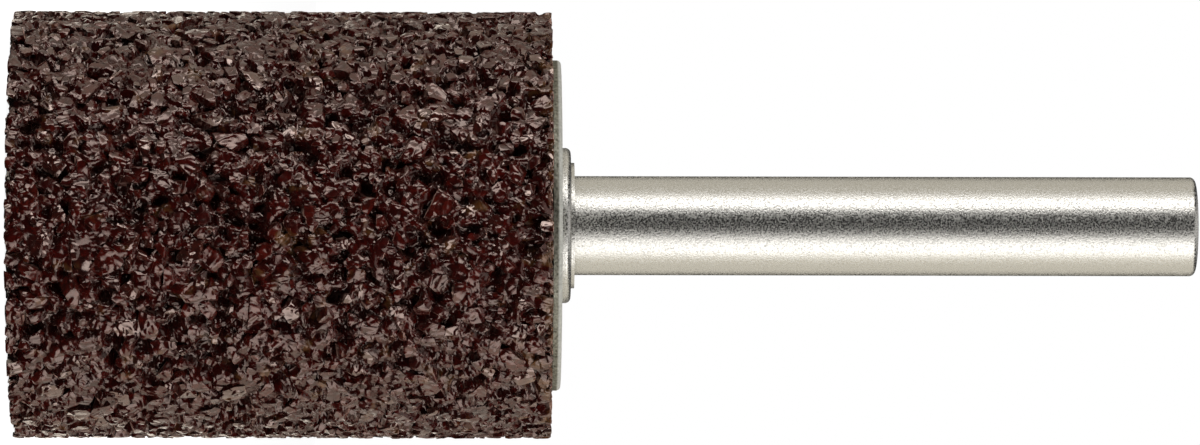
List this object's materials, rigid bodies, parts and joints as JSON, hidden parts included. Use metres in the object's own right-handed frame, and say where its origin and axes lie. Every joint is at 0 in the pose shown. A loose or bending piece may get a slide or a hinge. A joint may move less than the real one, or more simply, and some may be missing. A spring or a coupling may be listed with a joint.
{
  "type": "mounted point",
  "caption": "Cylindrical coarse-grain bonded abrasive head with a sheet-steel backing flange on a plain round steel shank, gripped in a collet for hand grinding.",
  "frame": {"origin": "centre of the head's working face, on which the tool stands", "axes": "+Z along the common axis of head and shank, from the working face to the shank's free end"},
  "size_m": [0.026, 0.026, 0.0715],
  "materials": {
    "bonded_abrasive": "coarse angular grains in a dark red-brown glossy resin bond, open pores",
    "sheet_steel": "mottled grey plated sheet",
    "bright_steel": "satin drawn bar"
  },
  "bodies": {
    "root": {"abrasive_head": "bonded_abrasive", "backing_flange": "sheet_steel", "spindle": "bright_steel"}
  },
  "joints": []
}
